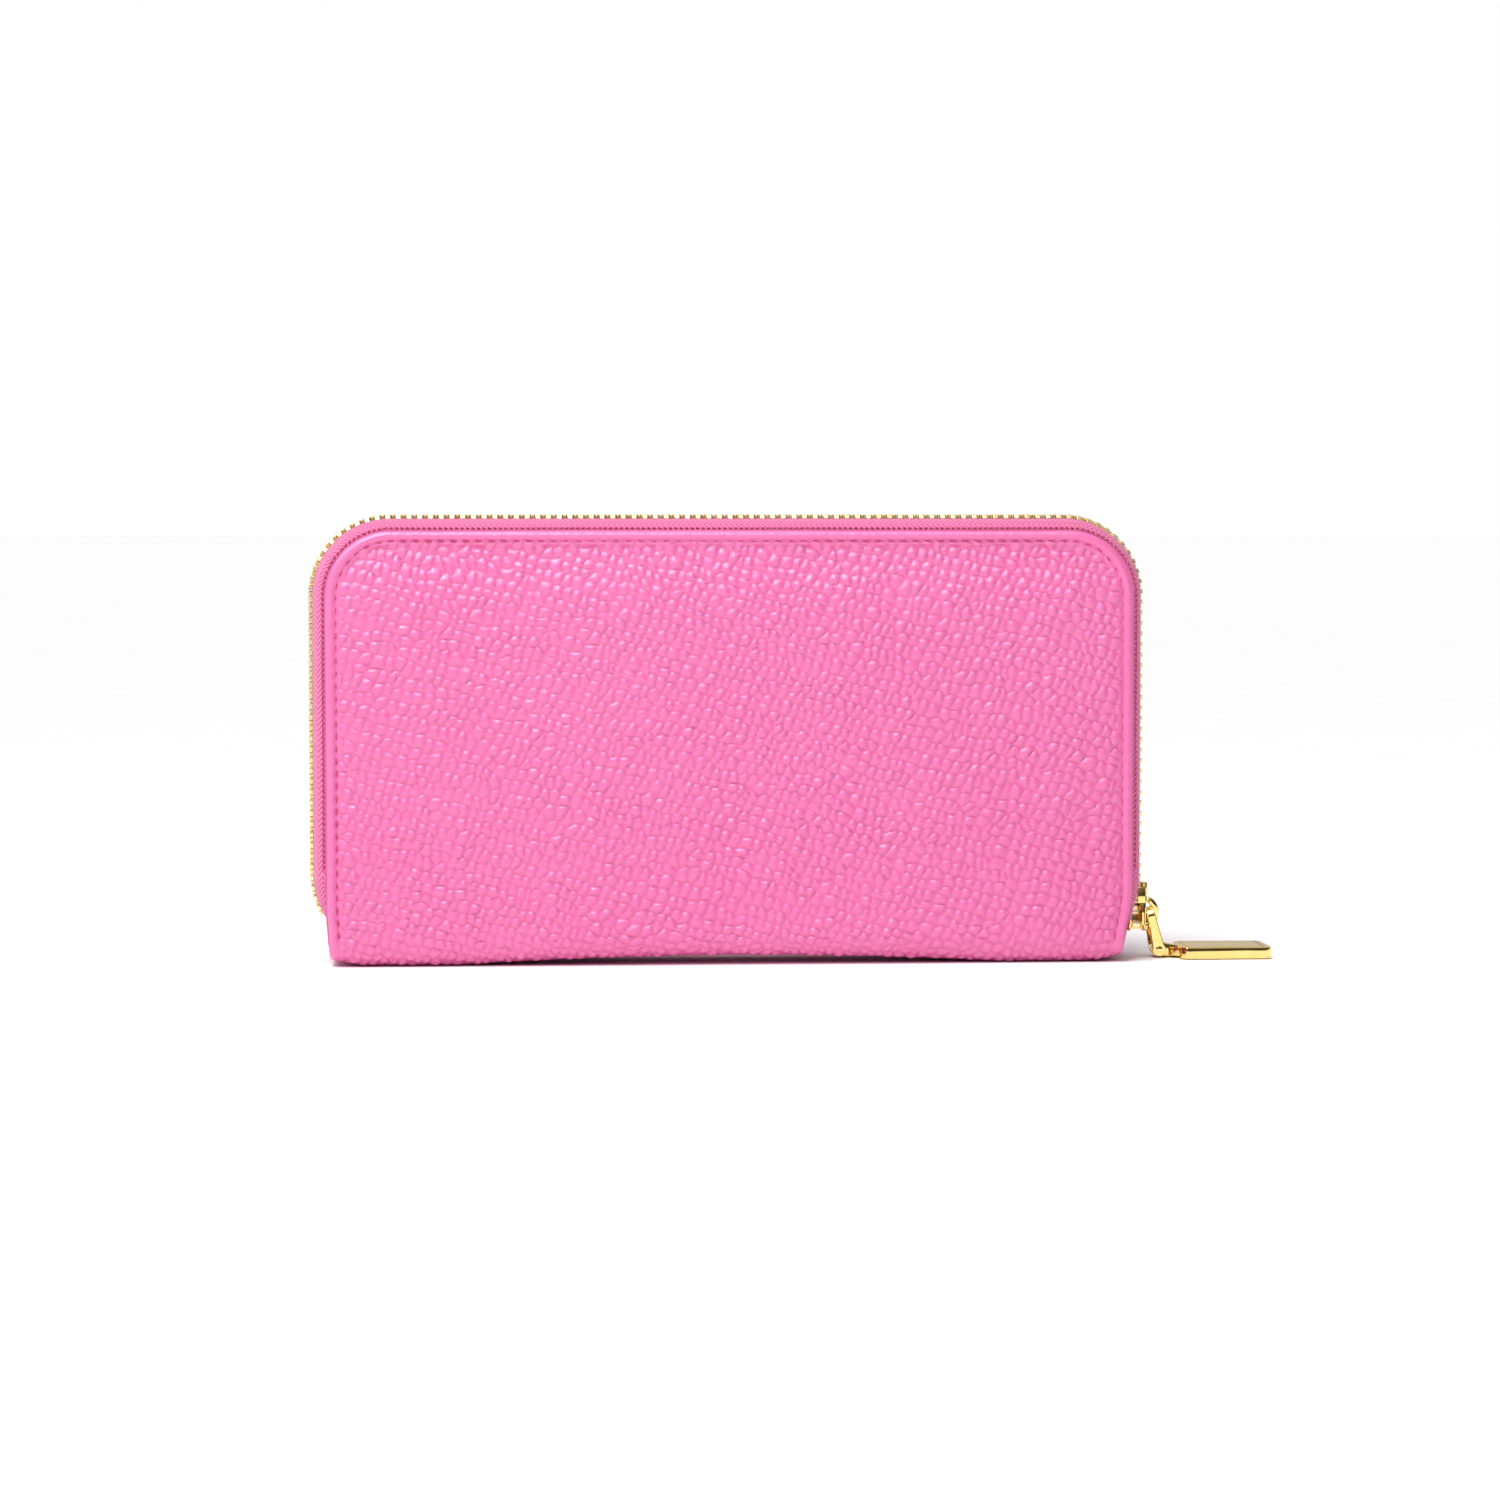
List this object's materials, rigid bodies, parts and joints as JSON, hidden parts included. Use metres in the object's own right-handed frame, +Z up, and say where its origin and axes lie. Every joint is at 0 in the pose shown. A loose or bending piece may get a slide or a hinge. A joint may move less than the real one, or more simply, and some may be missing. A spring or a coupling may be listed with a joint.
{
  "type": "zip-around wallet",
  "caption": "Long zip-around wallet in pink pebbled leather, standing on its spine, with a gold zip, hooked slider, link and flat pull, card slots and a coin pocket.",
  "frame": {"origin": "middle of the spine's flat resting face, on the surface the wallet stands on", "axes": "+X along the spine towards the slider's closed end, +Y from the front cover to the back cover, +Z up"},
  "size_m": [0.2265, 0.026, 0.105],
  "materials": {
    "leather": "pebbled, semi-gloss",
    "lining": "matt twill",
    "board": "matt",
    "tape": "matt herringbone weave",
    "gold_metal": "polished, gold plated",
    "nylon": "satin"
  },
  "bodies": {
    "back_cover": {"back_leather": "leather", "back_board": "board", "back_lining": "lining", "back_card_slot_1": "leather", "back_card_slot_2": "leather", "back_card_slot_3": "leather", "back_card_slot_4": "leather", "back_zip_tape": "tape", "back_zip_teeth": "gold_metal", "back_top_stop": "gold_metal", "back_bottom_stop": "gold_metal", "spine_leather": "leather", "spine_lining": "lining", "right_gusset": "lining", "left_gusset": "lining"},
    "front_cover": {"front_leather": "leather", "front_board": "board", "front_lining": "lining", "front_card_slot_1": "leather", "front_card_slot_2": "leather", "front_card_slot_3": "leather", "front_card_slot_4": "leather", "front_zip_tape": "tape", "front_zip_teeth": "gold_metal", "front_top_stop": "gold_metal", "front_bottom_stop": "gold_metal"},
    "coin_divider": {"coin_wall_back": "leather", "coin_wall_front": "leather", "coin_tape_back": "tape", "coin_tape_front": "tape", "coin_coil_back": "nylon", "coin_coil_front": "nylon", "coin_base": "lining", "coin_seam_right": "lining", "coin_seam_left": "lining"},
    "zip_slider": {"slider_body": "gold_metal", "slider_hook": "gold_metal"},
    "link": {"pull_link": "gold_metal"},
    "tag": {"pull_tag": "gold_metal", "pull_pin": "gold_metal"},
    "coin_zip_slider": {"coin_slider": "gold_metal"},
    "coin_zip_pull": {"coin_pull": "gold_metal"}
  },
  "joints": [
    {"name": "cover_open", "type": "hinge", "parent": "back_cover", "child": "front_cover", "pos_m": [0, -0.011, 0.005], "axis": [1, 0, 0], "range_deg": [0, 60], "deforming": ["spine_leather", "spine_lining", "right_gusset", "left_gusset"]},
    {"name": "divider_swing", "type": "hinge", "parent": "back_cover", "child": "coin_divider", "pos_m": [0, -0.011, 0.005], "axis": [1, 0, 0], "range_deg": [0, 30]},
    {"name": "zip_slide", "type": "slide", "parent": "back_cover", "child": "zip_slider", "axis": [0, 0, 1], "range_m": [0, 0.058]},
    {"name": "link_swing", "type": "hinge", "parent": "zip_slider", "child": "link", "pos_m": [0.1001, 0, 0.0114], "axis": [0, -1, 0], "range_deg": [0, 80]},
    {"name": "tag_swing", "type": "hinge", "parent": "link", "child": "tag", "pos_m": [0.10228, 0, 0.00205], "axis": [0, -1, 0], "range_deg": [-80, 30]},
    {"name": "coin_zip_slide", "type": "slide", "parent": "coin_divider", "child": "coin_zip_slider", "axis": [1, 0, 0], "range_m": [-0.146, 0]},
    {"name": "coin_pull_swing", "type": "hinge", "parent": "coin_zip_slider", "child": "coin_zip_pull", "pos_m": [0.073, 0, 0.09045], "axis": [0, 1, 0], "range_deg": [0, 150]}
  ],
  "couplings": [
    {"joint": "divider_swing", "follows": "cover_open", "ratio": 0.5}
  ]
}
